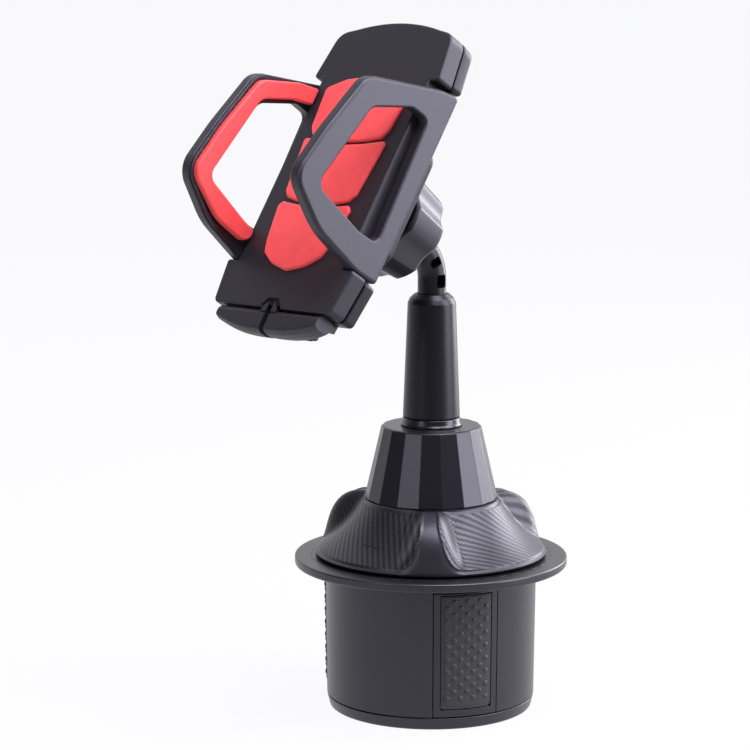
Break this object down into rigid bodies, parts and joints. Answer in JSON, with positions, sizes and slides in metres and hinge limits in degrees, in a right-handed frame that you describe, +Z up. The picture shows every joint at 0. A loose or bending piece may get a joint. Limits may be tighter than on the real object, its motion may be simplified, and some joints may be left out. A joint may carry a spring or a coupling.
{
  "type": "car phone mount",
  "caption": "Phone mount whose expanding base grips a cup holder. A short pole and a locking ball joint carry a cradle with sliding arms and folding feet.",
  "frame": {"origin": "middle of the base's bottom face, on the axis of the pole and the knob", "axes": "+Z up along the pole, -Y towards the side that the cradle's face looks to, +X to the right seen from behind the cradle's face"},
  "size_m": [0.0918, 0.1276, 0.2302],
  "materials": {
    "black_plastic": "fine moulded texture, slightly violet black",
    "collar_plastic": "smooth satin",
    "black_rubber": "matte, studded",
    "steel": "plain zinc plated",
    "red_rubber": "matte soft silicone"
  },
  "bodies": {
    "base": {"base_cup": "black_plastic", "base_cap": "black_plastic", "guide_plate": "black_plastic", "spindle": "black_plastic", "cone_collar": "collar_plastic", "collar_ring": "collar_plastic", "cap_screw_1": "steel", "cap_screw_2": "steel", "cap_screw_3": "steel"},
    "knob": {"adjusting_knob": "black_plastic", "scroll_cam": "black_plastic"},
    "jaw_1": {"jaw_1": "black_plastic", "jaw_pad_1": "black_rubber", "cam_pin_1": "steel"},
    "jaw_2": {"jaw_2": "black_plastic", "jaw_pad_2": "black_rubber", "cam_pin_2": "steel"},
    "jaw_3": {"jaw_3": "black_plastic", "jaw_pad_3": "black_rubber", "cam_pin_3": "steel"},
    "pole": {"pole": "black_plastic", "pole_washer": "steel", "pole_screw": "steel", "neck": "black_plastic"},
    "ball_tilt": {"ball_pad": "black_rubber"},
    "ball_lean": {"ball_cup": "black_plastic"},
    "cradle": {"ball_socket": "black_plastic", "joint_housing": "black_plastic", "back_cover": "black_plastic", "front_cover": "black_plastic", "casing_screw_1": "steel", "casing_screw_2": "steel", "casing_screw_3": "steel", "casing_screw_4": "steel", "socket_screw_1": "steel", "socket_screw_2": "steel", "socket_screw_3": "steel", "top_pad": "red_rubber", "middle_pad": "red_rubber", "lower_pad": "red_rubber", "foot_pin": "steel", "pinion_axle": "steel"},
    "lock_nut": {"lock_nut": "black_plastic"},
    "arm_left": {"arm_left": "black_plastic", "arm_liner_left": "red_rubber"},
    "arm_right": {"arm_right": "black_plastic", "arm_liner_right": "red_rubber"},
    "foot_left": {"foot_left": "black_plastic"},
    "foot_right": {"foot_right": "black_plastic"},
    "pinion": {"pinion": "black_plastic", "opening_spring": "steel"},
    "release": {"release_slider": "black_plastic", "release_spring": "steel"},
    "pawl": {"ratchet_pawl": "steel"}
  },
  "joints": [
    {"name": "knob_turn", "type": "hinge", "parent": "base", "child": "knob", "pos_m": [0, 0, 0.05225], "axis": [0, 0, 1], "range_deg": [0, 110]},
    {"name": "jaw_1_slide", "type": "slide", "parent": "base", "child": "jaw_1", "axis": [0.9326, -0.3608, 0], "range_m": [0, 0.009]},
    {"name": "jaw_2_slide", "type": "slide", "parent": "base", "child": "jaw_2", "axis": [-0.1538, 0.9881, 0], "range_m": [0, 0.009]},
    {"name": "jaw_3_slide", "type": "slide", "parent": "base", "child": "jaw_3", "axis": [-0.7788, -0.6273, 0], "range_m": [0, 0.009]},
    {"name": "pole_swivel", "type": "hinge", "parent": "base", "child": "pole", "pos_m": [0, 0, 0.06], "axis": [0, 0, 1], "continuous": true},
    {"name": "cradle_tilt", "type": "hinge", "parent": "pole", "child": "ball_tilt", "pos_m": [0, -0.01473, 0.16248], "axis": [0.999, 0.0252, 0.0379], "range_deg": [-25, 25]},
    {"name": "cradle_lean", "type": "hinge", "parent": "ball_tilt", "child": "ball_lean", "pos_m": [0, -0.01473, 0.16248], "axis": [-0.0455, 0.5535, 0.8316], "range_deg": [-20, 20]},
    {"name": "cradle_spin", "type": "hinge", "parent": "ball_lean", "child": "cradle", "pos_m": [0, -0.01473, 0.16248], "axis": [0, -0.8324, 0.5541], "continuous": true},
    {"name": "nut_turn", "type": "hinge", "parent": "cradle", "child": "lock_nut", "pos_m": [0, -0.01473, 0.16248], "axis": [0, -0.8324, 0.5541], "range_deg": [0, 180]},
    {"name": "arm_right_slide", "type": "slide", "parent": "cradle", "child": "arm_right", "axis": [0.999, 0.0252, 0.0379], "range_m": [0, 0.02]},
    {"name": "arm_left_slide", "type": "slide", "parent": "cradle", "child": "arm_left", "axis": [-0.999, -0.0252, -0.0379], "range_m": [0, 0.02]},
    {"name": "pinion_turn", "type": "hinge", "parent": "cradle", "child": "pinion", "pos_m": [0, -0.03804, 0.17799], "axis": [0, -0.8324, 0.5541], "range_deg": [-191, 0], "deforming": ["opening_spring"]},
    {"name": "release_slide", "type": "slide", "parent": "cradle", "child": "release", "axis": [-0.0455, 0.5535, 0.8316], "range_m": [0, 0.003], "stiffness_N_per_m": 120, "deforming": ["release_spring"]},
    {"name": "pawl_turn", "type": "hinge", "parent": "cradle", "child": "pawl", "pos_m": [0.00887, -0.04808, 0.16183], "axis": [0, -0.8324, 0.5541], "range_deg": [-22, 0]},
    {"name": "foot_left_turn", "type": "hinge", "parent": "cradle", "child": "foot_left", "pos_m": [-0.01172, -0.06962, 0.13849], "axis": [-0.999, -0.0252, -0.0379], "range_deg": [0, 45]},
    {"name": "foot_right_turn", "type": "hinge", "parent": "cradle", "child": "foot_right", "pos_m": [0.01625, -0.06891, 0.13955], "axis": [-0.999, -0.0252, -0.0379], "range_deg": [0, 45]}
  ],
  "couplings": [
    {"joint": "jaw_1_slide", "follows": "knob_turn", "m_per_rad": 0.0046878},
    {"joint": "jaw_2_slide", "follows": "knob_turn", "m_per_rad": 0.0046878},
    {"joint": "jaw_3_slide", "follows": "knob_turn", "m_per_rad": 0.0046878},
    {"joint": "arm_left_slide", "follows": "arm_right_slide", "ratio": 1},
    {"joint": "pinion_turn", "follows": "arm_right_slide", "rad_per_m": -166.67},
    {"joint": "pawl_turn", "follows": "release_slide", "rad_per_m": -125}
  ]
}
